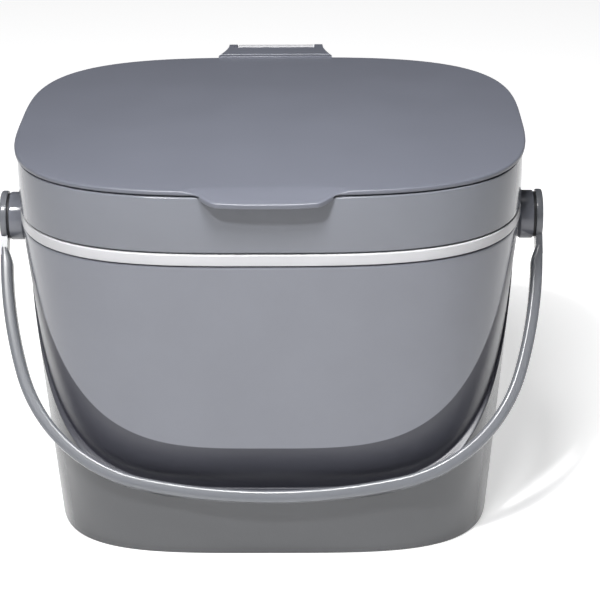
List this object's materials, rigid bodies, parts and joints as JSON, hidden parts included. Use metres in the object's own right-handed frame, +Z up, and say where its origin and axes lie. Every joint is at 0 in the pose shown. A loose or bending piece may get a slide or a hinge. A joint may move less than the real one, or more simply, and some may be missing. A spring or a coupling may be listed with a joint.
{
  "type": "compost caddy with hinged lid",
  "caption": "Countertop compost caddy: tapered charcoal bucket with a finger recess, pale trim ring, lift-off lid frame, flip lid with a finger tab and a swinging bail",
  "frame": {"origin": "centre of the bucket's base, on the worktop", "axes": "+X to the right across the bail pivots, -Y to the front where the finger tab is, +Z up"},
  "size_m": [0.2052, 0.1897, 0.1523],
  "materials": {
    "body_plastic": "glossy charcoal plastic",
    "lid_plastic": "satin charcoal plastic",
    "frame_plastic": "glossy mid grey plastic",
    "trim_plastic": "pale grey plastic",
    "bail_plastic": "glossy silver grey plastic",
    "soft_seal": "soft black rubber",
    "steel": "plain steel"
  },
  "bodies": {
    "bucket_body": {"bucket": "body_plastic", "trim_ring": "trim_plastic", "pivot_hub_left": "body_plastic", "pivot_hub_right": "body_plastic", "pivot_washer_left": "soft_seal", "pivot_washer_right": "soft_seal", "pivot_pin_left": "steel", "pivot_pin_right": "steel"},
    "frame_body": {"lid_frame": "frame_plastic", "frame_seal": "soft_seal", "hinge_bracket": "trim_plastic", "bracket_screws": "steel", "hinge_pin": "steel"},
    "lid_body": {"flip_lid": "lid_plastic", "lid_liner": "body_plastic", "lid_seal": "soft_seal", "hinge_housing": "lid_plastic", "housing_screws": "steel"},
    "bail_body": {"bail": "bail_plastic"}
  },
  "joints": [
    {"name": "lid_frame_lift", "type": "slide", "parent": "bucket_body", "child": "frame_body", "axis": [0, 0, 1], "range_m": [0, 0.13]},
    {"name": "lid_hinge", "type": "hinge", "parent": "frame_body", "child": "lid_body", "pos_m": [0, 0.098, 0.1475], "axis": [-1, 0, 0], "range_deg": [0, 100]},
    {"name": "bail_hinge", "type": "hinge", "parent": "bucket_body", "child": "bail_body", "pos_m": [0, -0.0124, 0.1162], "axis": [-1, 0, 0], "range_deg": [0, 145]}
  ]
}
